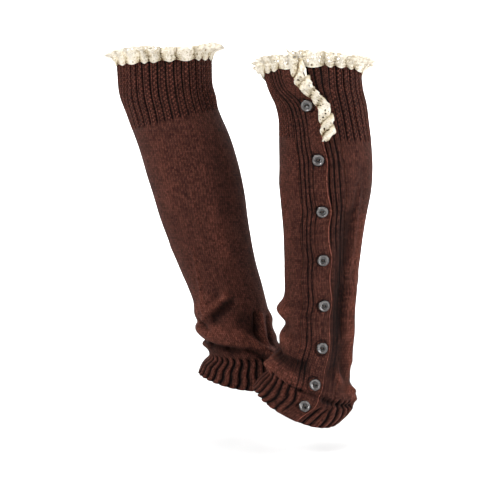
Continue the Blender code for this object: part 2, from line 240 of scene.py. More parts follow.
# From angle and rise, to angle and rise, width, and height, which is below nothing in a trough
LEFT_FOLDS = [
    (-75, 66, 40, 60, 8, 2.5), (-40, 82, 45, 78, 9, -3), (-60, 142, -10, 138, 12, 6.5),
    (-55, 119, 0, 116, 9, -3), (-60, 101, 5, 97, 9, 2.5), (91, 262, 96, 84, 11, -4),
    (118, 250, 124, 84, 12, 3), (150, 118, 190, 110, 11, 2.5), (-120, 130, -160, 84, 12, 3.5),
    (-100, 108, -150, 66, 10, -3), (140, 52, 205, 50, 10, 2),
]
LEFT_CREASES = [
    (100, 300, 99, 200, 4, -1.5), (106, 290, 108, 190, 4, 1.2), (112, 255, 113, 180, 4, -1.4),
    (-32, 62, -5, 70, 6, 3.0), (-35, 78, -8, 80, 4, -3.0),
    (-17, 67, 31, 66, 6, 4), (31, 66, 62, 64, 5, 3.2), (-11, 76, 45, 82, 4, -4.8), (-2, 60, 47, 57, 3, -3.5),
    (47, 57, 70, 55, 3, -2.9), (98, 168, 108, 120, 7, -4), (115, 103, 116, 73, 7, -5.6),
    (121, 166, 137, 93, 6, 3.5), (101, 80, 129, 65, 6, 4.8), (129, 65, 150, 48, 6, 3.2),
    (79, 52, 135, 43, 4, -5.1),
    (5, 150, 40, 158, 6, -1.3), (20, 108, 45, 112, 4, -1.3), (-95, 160, -40, 156, 7, -1.9),
    (128, 72, 175, 66, 5, -2.1), (170, 96, 215, 104, 7, -3.8), (195, 132, 235, 120, 8, 3.7),
    (205, 80, 250, 92, 6, 3.8), (-140, 180, -110, 150, 8, -1.9), (150, 175, 185, 150, 9, 1.6),
    (20, 235, 40, 195, 10, -1.3), (-20, 300, -5, 240, 12, 1.3), (108, 320, 112, 262, 9, -1.6),
    (230, 330, 225, 250, 12, 1.4), (160, 300, 165, 215, 12, -1.3),
]
RIGHT_FOLDS = [
    (24, 108, -32, 132, 8, 3), (-4, 103, -54, 124, 8, -3.5), (-8, 84, -46, 84, 13, 3),
    (15, 64, -54, 66, 7, -3.5), (-64, 82, -108, 64, 9, 3.5), (-82, 108, -94, 76, 9, -3.5),
    (60, 90, 14, 88, 9, 4), (55, 117, 28, 118, 8, 1), (120, 190, 150, 90, 12, 3.5),
    (95, 150, 130, 74, 10, -3), (150, 20, 205, 24, 14, 3), (-165, 398, -135, 396, 10, 2.5),
]
RIGHT_CREASES = [
    (40, 88, -16, 85, 7, 2.5), (45, 73, -10, 72, 4, -4.5), (45, 64, 0, 65, 4, 2.5),
    (-60, 136, -4, 104, 5, 5.1), (-30, 128, -50, 136, 4, -3.2), (-32, 106, -68, 128, 5, -5.1),
    (2, 99, -19, 90, 4, -4), (-36, 200, -27, 160, 2.5, 1.6), (-27, 160, -13, 116, 2.5, 2.1),
    (-10, 72, -44, 68, 3.5, -4.8), (-44, 68, -73, 67, 3.5, -4), (-16, 85, -67, 84, 7, 2.6),
    (-73, 89, -93, 75, 4.5, 4), (-93, 75, -109, 58, 4.5, 4), (-78, 67, -100, 51, 5, -4.2),
    (-104, 110, -97, 76, 4.5, -5.6), (-115, 108, -108, 76, 4, 2.9), (-134, 102, -120, 70, 4, -4.8),
    (-55, 343, -54, 199, 2, 0.7), (-120, 74, -165, 66, 6, -2.9), (165, 112, 205, 100, 8, 3.2),
    (150, 72, 200, 66, 6, -2.9), (-75, 250, -80, 190, 11, 1.4), (-100, 320, -96, 250, 12, -1.4),
    (-30, 330, -24, 260, 12, 1.1), (165, 300, 170, 220, 12, -1.3), (110, 290, 118, 230, 10, 1.4),
    (60, 140, 95, 128, 6, 2.6), (70, 70, 110, 66, 5, -2.9), (20, 200, 35, 160, 8, 1.4),
]


# %% One cuff
class Cuff(NamedTuple):
    """One cuff: its side, its top band's middle, how far it is turned outwards on the leg, and its form."""

    name: str
    side: int
    seat: tuple
    turn: float
    levels: np.ndarray
    tilts: np.ndarray
    folds: np.ndarray


LEFT = Cuff(
    "left", 1, (57.0, 75.0, -5.5), 0.0,
    np.array(LEFT_LEVELS, float), np.array(LEFT_TILTS, float), np.array(LEFT_FOLDS + LEFT_CREASES, float),
)
RIGHT = Cuff(
    "right", -1, (-57.0, -75.0, 5.5), 24.0,
    np.array(RIGHT_LEVELS, float), np.array(RIGHT_TILTS, float), np.array(RIGHT_FOLDS + RIGHT_CREASES, float),
)
closing = np.array(CLOSING, float)
# The columns of a table of levels, after the rise
UP, FORWARD, SIDE, FRONT = 1, 2, 3, 4


# %% From a place on the cloth to a point in space
def read(table, column, rise):
    """A smooth curve through one column: v0(1+2t)(1-t)^2 + v1 t^2(3-2t) + s0 t(1-t)^2 + s1 t^2(t-1)."""
    rise = np.clip(rise, 0, LENGTH)
    rises = table[:, 0]
    values = table[:, column]
    slopes = np.gradient(values, rises)
    low = np.clip(np.searchsorted(rises, rise, side="right") - 1, 0, len(rises) - 2)
    span = rises[low + 1] - rises[low]
    t = (rise - rises[low]) / span
    return (
        values[low] * (1 + 2 * t) * (1 - t) ** 2
        + values[low + 1] * t**2 * (3 - 2 * t)
        + slopes[low] * span * t * (1 - t) ** 2
        + slopes[low + 1] * span * t**2 * (t - 1)
    )


def smooth_step(t):
    """0 below 0, 1 above 1, and 3t^2 - 2t^3 between."""
    t = np.clip(t, 0, 1)
    return t * t * (3 - 2 * t)


def radius(cuff, rise):
    """The mean radius of a level: the root of half the sum of its two half widths' squares."""
    return np.hypot(read(cuff.levels, SIDE, rise), read(cuff.levels, FRONT, rise)) / math.sqrt(2)


def degrees_of(cuff, rise, length):
    """The angle that a length of cloth takes round the leg: length / radius, in degrees."""
    return np.degrees(length / radius(cuff, rise))


def closing_line(cuff, rise):
    """The angle of the line where the two bands button together."""
    return read(closing, 1, rise) + cuff.turn


def flap_edge(cuff, rise):
    """The flap's free edge: the closing line, less its fall back at the top, plus a bow at each button."""
    bow = sum(SCALLOP * np.exp(-(((rise - button) / SCALLOP_REACH) ** 2)) for button in BUTTON_RISES)
    return closing_line(cuff, rise) - read(closing, 2, rise) + degrees_of(cuff, rise, bow)


# %% Folds, and the surface that they lie on
def fold_height(cuff, angle, rise):
    """The sum over the folds of height * exp(-(distance from the fold's line / width)^2)."""
    around = math.radians(1) * radius(cuff, rise)
    height = np.zeros(np.broadcast(angle, rise).shape)
    for from_angle, from_rise, to_angle, to_rise, width, tall in cuff.folds:
        x = ((angle - from_angle + 180) % 360 - 180) * around
        y = rise - from_rise
        run = (to_angle - from_angle) * around
        climb = to_rise - from_rise
        along = np.clip((x * run + y * climb) / (run**2 + climb**2), 0, 1)
        apart = np.hypot(x - along * run, y - along * climb)
        height += tall * np.exp(-((apart / width) ** 2))
    return height


def panel_lift(cuff, angle, rise):
    """How far the panel rises as it nears the front band: BAND_RISE * smooth_step(1 - distance/BAND_EASE)."""
    start = flap_edge(cuff, rise) + 360 - degrees_of(cuff, rise, FRONT_BAND)
    before = np.radians(start - angle) * radius(cuff, rise)
    return BAND_RISE * smooth_step(1 - before / BAND_EASE)


def place(cuff, angle, rise, lift):
    """Points in metres: an ellipse at each level, plus the lift and the folds along the ellipse's normal."""
    angle, rise, lift = np.broadcast_arrays(angle, rise, lift)
    sine = np.sin(np.radians(angle))
    cosine = np.cos(np.radians(angle))
    side = read(cuff.levels, SIDE, rise)
    front = read(cuff.levels, FRONT, rise)
    steep = np.hypot(sine / side, cosine / front)
    stand = lift + fold_height(cuff, angle, rise)
    outward = side * sine + stand * sine / side / steep
    forward = read(cuff.levels, FORWARD, rise) + front * cosine + stand * cosine / front / steep
    up = (
        read(cuff.levels, UP, rise)
        + read(cuff.tilts, 1, rise) * cosine
        + read(cuff.tilts, 2, rise) * sine
        + read(cuff.tilts, 3, rise) * np.cos(np.radians(2 * angle))
        + np.maximum(rise - LENGTH, 0)
    )
    x, y, z = cuff.seat
    return MM * np.stack([x + cuff.side * outward, y - forward, z + up], axis=-1)


# %% [markdown]
# ## A closed wall of cloth
# Knitting is about two millimetres thick, so each piece is two grids of points, the face and the back, joined
# along every open border. A mask leaves cells out, which makes the lace's holes. Two things are stored with
# the points: a UV map in metres of cloth, which the stitches follow, and a height from 0 in a furrow to 1 on
# a ridge, which the materials use to paint shade into the furrows and light onto the ridges.


# %% The wall builder
def add_wall(cuff, name, face, back, cloth, height, material, keep=None):
    """A closed mesh between two grids (rows, columns, 3). Every cell edge with one kept side gets a wall."""
    rows, columns = face.shape[:2]
    index = np.arange(rows * columns).reshape(rows, columns)
    keep = np.ones((rows - 1, columns - 1), bool) if keep is None else keep
    corners = [index[:-1, :-1], index[:-1, 1:], index[1:, 1:], index[1:, :-1]]
    skin = np.stack(corners, axis=-1)[keep]
    beyond = np.pad(keep, 1)
    beside = [beyond[:-2, 1:-1], beyond[1:-1, 2:], beyond[2:, 1:-1], beyond[1:-1, :-2]]
    behind = rows * columns
    walls = []
    for k in range(4):
        start, end = corners[k], corners[(k + 1) % 4]
        wall = np.stack([end, start, start + behind, end + behind], axis=-1)
        walls.append(wall[keep & ~beside[k]])
    faces = np.concatenate([skin, skin[:, ::-1] + behind, *walls])
    if cuff.side < 0:
        faces = faces[:, ::-1]
    used, faces = np.unique(faces, return_inverse=True)
    faces = faces.reshape(-1, 4)
    points = np.concatenate([face.reshape(-1, 3), back.reshape(-1, 3)])[used]
    cloth = np.tile(cloth.reshape(-1, 2), (2, 1))[used]
    height = np.tile(np.broadcast_to(height, (rows, columns)).reshape(-1), 2)[used]
    made = new_piece(f"{cuff.name}_{name}", points, faces.tolist(), material)
    mesh = made.data
    corner_cloth = cloth[faces.reshape(-1)].astype(np.float32)
    mesh.uv_layers.new(name="cloth").uv.foreach_set("vector", corner_cloth.ravel())
    mesh.attributes.new("height", "FLOAT", "POINT").data.foreach_set("value", height.astype(np.float32))
    mesh.set_sharp_from_angle(angle=math.radians(80))
    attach(made, "root")
    print(f"{made.name}: {2 * len(faces):,} triangles")
    return made


# %% Spacing, rounded borders and unevenness
def steps(low, high, cell):
    """Evenly spaced values from low to high, about one cell apart."""
    return np.linspace(low, high, max(2, round((high - low) / cell) + 1))


def edge_round(distance, reach=0.9):
    """How much a face sinks towards the middle of the cloth near a border: r - sqrt(r^2 - (r - d)^2)."""
    inside = np.clip(reach - distance, 0, reach)
    return reach - np.sqrt(reach**2 - inside**2)


def uneven(x, y):
    """A smooth unevenness between -1 and 1: the mean of four sine waves that cross at odd angles."""
    return (
        np.sin(1.00 * x + 0.31 * y)
        + np.sin(-0.73 * x + 0.87 * y + 1.3)
        + np.sin(0.41 * x + 1.37 * y + 4.1)
        + np.sin(1.63 * x - 0.59 * y + 2.2)
    ) / 4


# %% [markdown]
# ## Yarn and stitches
# The cuffs are a soft wool blend in chestnut brown, slightly heathered. Stocking stitch shows columns of
# small V shapes, each leg of a V being one side of a loop. At 2.9 mm by 2.4 mm they are drawn as coarse as
# they need to show, and they are bump and colour, not geometry: the colour holds painted shade deep in each
# stitch and a painted highlight on its legs. The height of a V at x across its column and y up it is
# sin(pi f) sin(pi |2x|), with f the fraction of y - |2x|: both legs climb outwards, and painted shade
# darkens the gap between two columns by |2x|^2. The fibres take up dye unevenly, so each stitch, and each
# leg of it, has a random tone of its own. The furrows between ribs are geometry, and the stored height
# paints shade into them and a redder highlight onto the ridges.

# %% The V stitch in nodes
WALE = 2.9
COURSE = 2.4


def stitch_nodes(tree):
    """Sockets for a stitch's height, for the gap |2x|^2 beside its column, and for its own random shade."""
    cloth = add_node(tree, "UVMap", uv_map="cloth")
    axes = add_node(tree, "SeparateXYZ", {0: cloth.outputs["UV"]})
    column = add_node(tree, "Math", {0: axes.outputs["X"], 1: 1 / (WALE * MM)}, operation="MULTIPLY")
    part = add_node(tree, "Math", {0: column.outputs[0]}, operation="FRACT")
    centred = add_node(tree, "Math", {0: part.outputs[0], 1: 0.5}, operation="SUBTRACT")
    side = add_node(tree, "Math", {0: centred.outputs[0]}, operation="ABSOLUTE")
    leg = add_node(tree, "Math", {0: side.outputs[0], 1: 2.0}, operation="MULTIPLY")
    course = add_node(tree, "Math", {0: axes.outputs["Y"], 1: 1 / (COURSE * MM)}, operation="MULTIPLY")
    slanted = add_node(tree, "Math", {0: course.outputs[0], 1: leg.outputs[0]}, operation="SUBTRACT")
    step = add_node(tree, "Math", {0: slanted.outputs[0]}, operation="FRACT")
    across = add_node(tree, "Math", {0: leg.outputs[0], 1: math.pi}, operation="MULTIPLY")
    along = add_node(tree, "Math", {0: step.outputs[0], 1: math.pi}, operation="MULTIPLY")
    across_wave = add_node(tree, "Math", {0: across.outputs[0]}, operation="SINE")
    along_wave = add_node(tree, "Math", {0: along.outputs[0]}, operation="SINE")
    waves = {0: across_wave.outputs[0], 1: along_wave.outputs[0]}
    stitch = add_node(tree, "Math", waves, operation="MULTIPLY")
    between = add_node(tree, "Math", {0: leg.outputs[0], 1: 2.0}, operation="POWER")
    which_column = add_node(tree, "Math", {0: column.outputs[0]}, operation="FLOOR")
    which_row = add_node(tree, "Math", {0: slanted.outputs[0]}, operation="FLOOR")
    loop = add_node(tree, "CombineXYZ", {"X": which_column.outputs[0], "Y": which_row.outputs[0]})
    dyed = add_node(tree, "TexWhiteNoise", {"Vector": loop.outputs[0]}, noise_dimensions="2D")
    half_column = add_node(tree, "Math", {0: column.outputs[0], 1: 2.0}, operation="MULTIPLY")
    which_leg = add_node(tree, "Math", {0: half_column.outputs[0]}, operation="FLOOR")
    strand = add_node(tree, "CombineXYZ", {"X": which_leg.outputs[0], "Y": which_row.outputs[0]})
    spun = add_node(tree, "TexWhiteNoise", {"Vector": strand.outputs[0]}, noise_dimensions="2D")
    mixed = add_node(tree, "Math", {0: dyed.outputs["Value"], 1: spun.outputs["Value"]}, operation="ADD")
    return stitch.outputs[0], between.outputs[0], mixed.outputs[0]


# %% Knit material
# Painted shade for a furrow, the yarn's own chestnut for the face, and a painted redder highlight for a ridge
PAINTED_FURROW_SHADE = "#080302"
BODY_COLOUR = "#3c2019"
PAINTED_RIDGE_HIGHLIGHT = "#61362b"


def knit_material(name, roughness):
    """Wool blend knit: chestnut on the face and heathered, with painted near-black shade in a furrow and a
    painted redder highlight on a ridge.
    """
    made, tree, shader = new_material(name, roughness, 0.1)
    stitch, between, mixed = stitch_nodes(tree)
    place_of = add_node(tree, "TexCoord")
    fuzz = add_node(tree, "TexNoise", {"Vector": place_of.outputs["Object"], "Scale": 900.0, "Detail": 3.0})
    cloudy = add_node(tree, "TexNoise", {"Vector": place_of.outputs["Object"], "Scale": 45.0, "Detail": 3.0})
    height = add_node(tree, "Attribute", attribute_name="height")
    ramp = add_node(tree, "ValToRGB", {"Fac": height.outputs["Fac"]})
    set_stops(ramp, [(0.08, PAINTED_FURROW_SHADE), (1.0, PAINTED_RIDGE_HIGHLIGHT), (0.55, BODY_COLOUR)])
    # Painted shade: deep in a stitch the yarn is a quarter as light as on its leg, and painted darker again
    # between two columns
    dim = add_node(tree, "MapRange", {"Value": stitch, "To Min": 0.25, "To Max": 2.15})
    wale = add_node(tree, "MapRange", {"Value": between, "To Min": 1.2, "To Max": 0.5})
    dye_range = {"From Min": 0.15, "From Max": 1.85, "To Min": 0.42, "To Max": 1.58}
    shade = add_node(tree, "MapRange", {"Value": mixed, **dye_range})
    cloud_range = {"From Min": 0.32, "From Max": 0.68, "To Min": 0.93, "To Max": 1.07}
    patch = add_node(tree, "MapRange", {"Value": cloudy.outputs["Fac"], **cloud_range})
    looped = add_node(tree, "Math", {0: dim.outputs[0], 1: wale.outputs[0]}, operation="MULTIPLY")
    yarn = add_node(tree, "Math", {0: looped.outputs[0], 1: shade.outputs[0]}, operation="MULTIPLY")
    tone = add_node(tree, "Math", {0: yarn.outputs[0], 1: patch.outputs[0]}, operation="MULTIPLY")
    dimmed = {0: ramp.outputs["Color"], "Scale": tone.outputs[0]}
    shaded = add_node(tree, "VectorMath", dimmed, operation="SCALE")
    tree.links.new(shaded.outputs[0], shader.inputs["Base Color"])
    grooved = {0: between, 1: -0.8, 2: stitch}
    raised = add_node(tree, "Math", grooved, operation="MULTIPLY_ADD")
    fuzzed = {0: fuzz.outputs["Fac"], 1: 0.5, 2: raised.outputs[0]}
    pile = add_node(tree, "Math", fuzzed, operation="MULTIPLY_ADD")
    relief = add_node(tree, "Bump", {"Height": pile.outputs[0], "Strength": 0.5, "Distance": 0.0008})
    tree.links.new(relief.outputs[0], shader.inputs["Normal"])
    shader.inputs["Sheen Weight"].default_value = 0.03
    shader.inputs["Sheen Roughness"].default_value = 0.5
    shader.inputs["Sheen Tint"].default_value = colour("#c07860")
    return made


# Soft wool blend, knitted flat: a matte chestnut face with faint columns of V's
stocking_stitch = knit_material("wool_stocking_stitch", 0.9)
# The same yarn in a rib: painted near-black shade in the furrows, and painted reddish light on the rounded
# ridges
rib_stitch = knit_material("wool_rib", 0.85)
print("knit materials:", stocking_stitch.name, rib_stitch.name)

# %% [markdown]
# ## Top rib, leg and ankle rib
# These three are one surface, which wraps the leg from the back band round to the front band. The leg is
# plain stocking stitch, so its face is smooth: what shape it has beyond the tables comes from the folds, and
# from a slight unevenness where the knit has stretched. The top rib repeats a deep furrow, a pebbly column, a
# shallow furrow and a narrow cord. The ankle rib is plain rounded ribs. Both are modelled as relief and not
# as bump, because ribs this deep cast shadows and show on the outline. The columns run straight up the leg,
# and only the last 60 mm beside the front band bend to follow its scallops.

# %% Panel grid
TOP_RIBS = 30
ANKLE_RIBS = 27
PANEL_WALES = 90
TOP_WIDTH = 290
LEG_WIDTH = 250
BEND_REACH = 60.0
BACK_LEAN = 6.0


def back_seam(cuff, rise):
    """The angle of the seam behind the back band, which leans back by up to 6 mm in the last 45 mm."""
    lean = BACK_LEAN * smooth_step((rise - 395) / 45)
    return closing_line(cuff, rise) + degrees_of(cuff, rise, BACK_BAND_SEEN + lean)


def panel_grid(cuff, rise, fraction):
    """Angles, and the cloth's width in mm at each level, for fractions of the way round the main panel."""
    first = back_seam(cuff, rise)
    last = flap_edge(cuff, rise) + 360 - degrees_of(cuff, rise, FRONT_BAND)
    straight = closing_line(cuff, rise) + 360 - degrees_of(cuff, rise, FRONT_BAND)
    width = np.radians(last - first) * radius(cuff, rise)
    bend = smooth_step(1 - (1 - fraction) * width / BEND_REACH)
    angle = first + (straight - first) * fraction + (last - straight) * bend
    return angle, width


# %% Face and back of the cloth
LEAST_WALL = 0.5


def skins(lift, level, sink):
    """Lifts of the face, which sinks near a border, and of the back, which stays at least 0.5 mm below it."""
    face = level - sink
    return lift + face, lift + np.minimum(-KNIT, face - LEAST_WALL)


def hollow_shade(cuff, angle, rise):
    """Painted shade in a trough and painted light on a ridge: 0.075 for each mm of fold, between -0.34 and
    0.2.
    """
    return np.clip(0.075 * fold_height(cuff, angle, rise), -0.34, 0.2)


# %% Relief of the two ribs
def arc(x, middle, half):
    """An elliptical arc: sqrt(1 - ((x - middle)/half)^2) inside the half width, and 0 outside it."""
    return np.sqrt(np.clip(1 - ((x - middle) / half) ** 2, 0, 1))


def top_border(cuff, angle):
    """The rise where the top rib ends: square to the leg, so it is higher at the back of a leaning one."""
    lean, toward = (-3, -20) if cuff.side > 0 else (13, 31)
    return LENGTH - TOP_RIB + lean * (1 - np.cos(np.radians(angle - toward)))


def ankle_border(cuff, angle):
    """The rise where the ankle rib ends: some millimetres above its piece's border, most at the front."""
    more, toward = (6.5, 20) if cuff.side > 0 else (3.5, -60)
    return ANKLE_RIB + more * (1 + np.cos(np.radians(angle - toward)))


def top_rib(fraction, rise):
    """In three stitches, a deep furrow, a pebbly column, a shallow furrow and a narrow cord.

    A furrow's depth is exp(-(distance/width)^2), 2.2 mm or 1.1 mm deep, and the cord is an elliptical arc.
    """
    x = fraction * TOP_RIBS + 0.05 * uneven(fraction * 70, rise / 9)
    t = x % 1
    pitch = TOP_WIDTH / TOP_RIBS
    pips = np.sin(2 * math.pi * (rise / 4.8 + 0.5 * (t > 0.36) + 0.31 * np.floor(x)))
    deep = np.exp(-((np.minimum(t, 1 - t) * pitch / (1.05 + 0.2 * pips)) ** 2))
    shallow = np.exp(-(((t - 0.69) * pitch / 0.8) ** 2))
    pebbly = smooth_step((0.33 - abs(t - 0.36)) / 0.1)
    cord = arc(t, 0.84, 0.14)
    level = 0.45 * pips * pebbly + 0.3 * cord - 2.2 * deep - 1.1 * shallow
    # The height is painted shade in both furrows and painted light on the pips and the cord
    height = 0.55 + 0.32 * pips * pebbly + 0.32 * cord - 0.92 * deep - 0.5 * shallow
    return level, height


def ankle_rib(cuff, fraction, rise):
    """Plain rounded ribs, each an elliptical arc 3.2 mm high, that sway and lean a little towards the hem."""
    down = 1 - rise / ankle_border(cuff, fraction * 360)
    lean = cuff.side * 0.009 * np.sin(2 * math.pi * down) - 0.018 * down
    x = (fraction + lean) * ANKLE_RIBS + 0.06 * uneven(fraction * 50, rise / 12)
    level = arc(x % 1, 0.5, 0.42)
    # The height is painted shade, darkest in the furrows between the ribs
    return 3.2 * level - 2.4, 0.74 * level**2


def panel_relief(cuff, angle, fraction, rise):
    """Both ribs' profiles, faded by smooth steps into the leg between them, which is only slightly uneven."""
    top = smooth_step((rise - top_border(cuff, angle)) / 3.5)
    low = smooth_step((ankle_border(cuff, angle) - rise) / 4)
    top_level, top_height = top_rib(fraction, rise)
    low_level, low_height = ankle_rib(cuff, fraction, rise)
    plain = 1 - top - low
    level = top * top_level + low * low_level + plain * 0.2 * uneven(fraction * 60, rise / 9)
    height = top * top_height + low * low_height + plain * (0.56 + 0.05 * uneven(fraction * 90, rise / 6))
    return level, height + hollow_shade(cuff, angle, rise)


# %% One piece of the panel
def add_panel(cuff, name, rise, columns, material):
    """One piece of the main panel, between the first rise and the last."""
    rise = rise[:, None]
    fraction = columns[None, :]
    angle, width = panel_grid(cuff, rise, fraction)
    sink = edge_round(fraction * width) + edge_round((1 - fraction) * width)
    if rise[0, 0] == 0:
        sink = sink + edge_round(rise, 2.5)
    level, height = panel_relief(cuff, angle, fraction, rise)
    level = level * smooth_step(fraction * width / 3) * smooth_step((1 - fraction) * width / 3)
    face, back = skins(panel_lift(cuff, angle, rise), level, sink)
    cloth = MM * np.stack(np.broadcast_arrays(fraction * PANEL_WALES * WALE, rise), axis=-1)
    outside = place(cuff, angle, rise, face)
    inside = place(cuff, angle, rise, back)
    return add_wall(cuff, name, outside, inside, cloth, height, material)


def border_columns(count, width):
    """Even fractions with extra columns close to both ends, where the cloth's border is rounded."""
    close = np.array([0.12, 0.35, 0.65]) / width
    return np.unique(np.concatenate([np.linspace(0, 1, count + 1), close, 1 - close]))


# %% The three pieces of each cuff
def add_panels(cuff):
    """The ribbed top, the stocking stitch leg and the ribbed ankle, which share one surface."""
    rise = steps(LENGTH - TOP_RIB, LENGTH, 1.2)
    top = add_panel(cuff, "top_rib_knit", rise, border_columns(TOP_RIBS * 9, TOP_WIDTH), rib_stitch)
    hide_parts(f"{cuff.name}_top_rib")
    rise = np.concatenate([steps(ANKLE_RIB, 170, 1.7), steps(170, LENGTH - TOP_RIB, 3)[1:]])
    leg = add_panel(cuff, "leg_knit", rise, border_columns(ANKLE_RIBS * 9, LEG_WIDTH), stocking_stitch)
    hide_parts(f"{cuff.name}_leg")
    rise = np.unique(np.concatenate([[0.3, 0.8, 1.5], steps(0, ANKLE_RIB, 1.7)]))
    ankle = add_panel(cuff, "ankle_rib_knit", rise, border_columns(ANKLE_RIBS * 11, LEG_WIDTH), rib_stitch)
    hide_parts(f"{cuff.name}_ankle_rib")


for cuff in (LEFT, RIGHT):
    add_panels(cuff)

# %% [markdown]
# ## Button bands
# The front band lies on top. Its outer half, which the buttons hold, is plain, its free edge is a rolled cord
# with a painted highlight, and its inner half has four furrows that come and go with the knitter's tension
# and bunch towards each button. The back band has four deep furrows, which sway with the flap's scallops and
# are shallow below the middle of the leg. Near the hem both bands take up the ankle's plain ribs. Painted
# shade darkens the furrows of both bands and a thin ring round each button.

# %% Furrows of the bands
# Distance from the flap's edge in mm, and depth at the top rib, above the calf, and below it
FRONT_FURROWS = [(17.0, 1.3, 1.0, 0.1), (22.0, 1.7, 1.5, 1.1), (27.0, 1.8, 1.6, 1.3), (32.5, 1.8, 1.4, 0.3)]
# Distance from the closing line in mm, and the same depths
BACK_FURROWS = [(-3.0, 1.3, 1.3, 0.4), (3.2, 1.7, 1.7, 0.4), (9.4, 1.9, 1.8, 0.35), (15.6, 1.9, 1.8, 0.5)]
FURROW_WIDTH = 0.85


def band_rows():
    """Rises from hem to rim, closer together near the hem's rounded edge."""
    return np.unique(np.concatenate([[0.12, 0.35, 0.65], steps(0, LENGTH, 1.6)]))[:, None]


def button_pull(rise, reach=9):
    """1 at each button's level and 0 between: the sum of exp(-((rise - button)/reach)^2)."""
    return sum(np.exp(-(((rise - button) / reach) ** 2)) for button in BUTTON_RISES)


def furrows(distance, rise, table):
    """The sum of depth * exp(-(distance to a furrow / width)^2), each dotted at every second stitch."""
    total = 0
    for number, (middle, top, high, low) in enumerate(table):
        depth = low + (high - low) * smooth_step((rise - 205) / 50)
        depth = depth + (top - high) * smooth_step((rise - 335) / 20)
        depth = depth * (0.85 + 0.3 * uneven(5.1 * number, rise / 6))
        dotted = 0.75 + 0.25 * np.sin(2 * math.pi * (rise / (2 * COURSE) + 0.5 * number))
        total = total + depth * dotted * np.exp(-(((distance - middle) / FURROW_WIDTH) ** 2))
    return total


def pebbles(distance, rise):
    """Seed stitch at the top of both bands: pips from -1 to 1 that alternate by column and by row."""
    column = np.cos(2 * math.pi * distance / (2 * WALE))
    row = np.sin(2 * math.pi * rise / (2 * COURSE))
    return column * row * smooth_step((rise - 348) / 14)


def with_hem_ribs(level, height, turns, share, fade=1):
    """The ankle's plain ribs, one to a turn, put over a band's own relief where share is 1."""
    rib = arc(turns % 1, 0.5, 0.42)
    level = level * (1 - share) + share * (2.6 * rib - 2.2) * fade
    # The height is painted shade on the ribs' sides and in their furrows
    return level, height * (1 - share) + share * 0.72 * rib**1.6


# %% What both bands share
def finish_band(cuff, name, rise, angle, lift, level, height, length, node):
    """The parts that both bands share: rounded borders, the wall, and what it stands for."""
    sink = edge_round(length - length[0, 0]) + edge_round(length[0, -1] - length) + edge_round(rise)
    face, back = skins(lift, level, sink)
    height = height + hollow_shade(cuff, angle, rise)
    cloth = MM * np.stack(np.broadcast_arrays(length, rise), axis=-1)
    outside = place(cuff, angle, rise, face)
    inside = place(cuff, angle, rise, back)
    band = add_wall(cuff, name, outside, inside, cloth, height, rib_stitch)
    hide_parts(f"{cuff.name}_{node}")


# %% Front band
HEM_RIB_PITCH = 8.7


def add_front_band(cuff):
    """The buttonhole band: plain outer half, furrowed inner half, dents round the buttons, rolled edge."""
    rise = band_rows()
    length = np.unique(np.concatenate([steps(0, FRONT_BAND, 0.6), [33.6, 33.85]]))[None, :]
    angle = flap_edge(cuff, rise) - degrees_of(cuff, rise, FRONT_BAND - length)
    distance = FRONT_BAND - length
    sway = SCALLOP * (button_pull(rise, SCALLOP_REACH) - 0.5) * smooth_step((distance - 8) / 20)
    bunched = distance - sway + 1.2 * button_pull(rise) * smooth_step((distance - 8) / 10)
    pips = pebbles(distance, rise)
    dug = furrows(bunched, rise, FRONT_FURROWS)
    level = 0.4 * pips - dug + 0.2 * uneven(length, rise / 7)
    # Painted shade in the furrows and painted light on the pips
    height = 0.56 + 0.22 * pips + 0.06 * uneven(length * 2, rise / 3) - 0.68 * dug
    for button in BUTTON_RISES:
        apart = np.hypot(distance - BUTTON_INSET, rise - button)
        level = level - 0.7 * np.exp(-((apart / 8) ** 2))
        # Painted shade in a thin ring round each button
        height = height - 0.45 * np.exp(-(((apart - 7.2) / 1.0) ** 2))
    inner = smooth_step((distance - 18) / 3) * smooth_step((length + 0.8) / 3)
    low = smooth_step((ANKLE_RIB + 6 - rise) / 4) * inner
    turns = distance / HEM_RIB_PITCH + 0.02 * (ANKLE_RIB - rise)
    level, height = with_hem_ribs(level, height, turns, low)
    roll = np.clip(1 - distance / 2.6, 0, 1)
    level = np.where(roll > 0, 0.55 * np.sin(math.pi * roll), level)
    # A painted highlight along the rolled edge
    height = np.where(roll > 0, 0.3 + 0.75 * np.sin(math.pi * roll), height)
    finish_band(cuff, "front_band_knit", rise, angle, BAND_RISE, level, height, length, "front_band")


# %% Back band
def add_back_band(cuff):
    """The button band: its hidden part is plain, and its last furrow is the seam to the leg."""
    rise = band_rows()
    hidden = steps(-BACK_BAND_HIDDEN, -6, 1.8)
    seen = steps(-6, BACK_BAND_SEEN, 0.62)
    length = np.unique(np.concatenate([hidden, seen]))[None, :]
    wide = (back_seam(cuff, rise) - closing_line(cuff, rise)) / degrees_of(cuff, rise, BACK_BAND_SEEN)
    angle = closing_line(cuff, rise) + degrees_of(cuff, rise, length) * np.where(length > 0, wide, 1)
    sway = 1.8 * (button_pull(rise, SCALLOP_REACH) - 0.5) * smooth_step((BACK_BAND_SEEN - length) / 12)
    pips = pebbles(length, rise)
    dug = furrows(length - sway, rise, BACK_FURROWS)
    level = 0.35 * pips - dug + 0.15 * uneven(length, rise / 7)
    # Painted shade in the furrows and painted light on the pips
    height = 0.52 + 0.22 * pips + 0.06 * uneven(length * 2, rise / 3) - 0.68 * dug
    low = smooth_step((42 - rise) / 8) * smooth_step((length - 2) / 3)
    turns = length / HEM_RIB_PITCH + 0.35 - 0.012 * rise
    fade = smooth_step((BACK_BAND_SEEN + 0.8 - length) / 3)
    level, height = with_hem_ribs(level, height, turns, low, fade)
    finish_band(cuff, "back_band_knit", rise, angle, 0.0, level, height, length, "back_band")


for cuff in (LEFT, RIGHT):
    add_front_band(cuff)
    add_back_band(cuff)

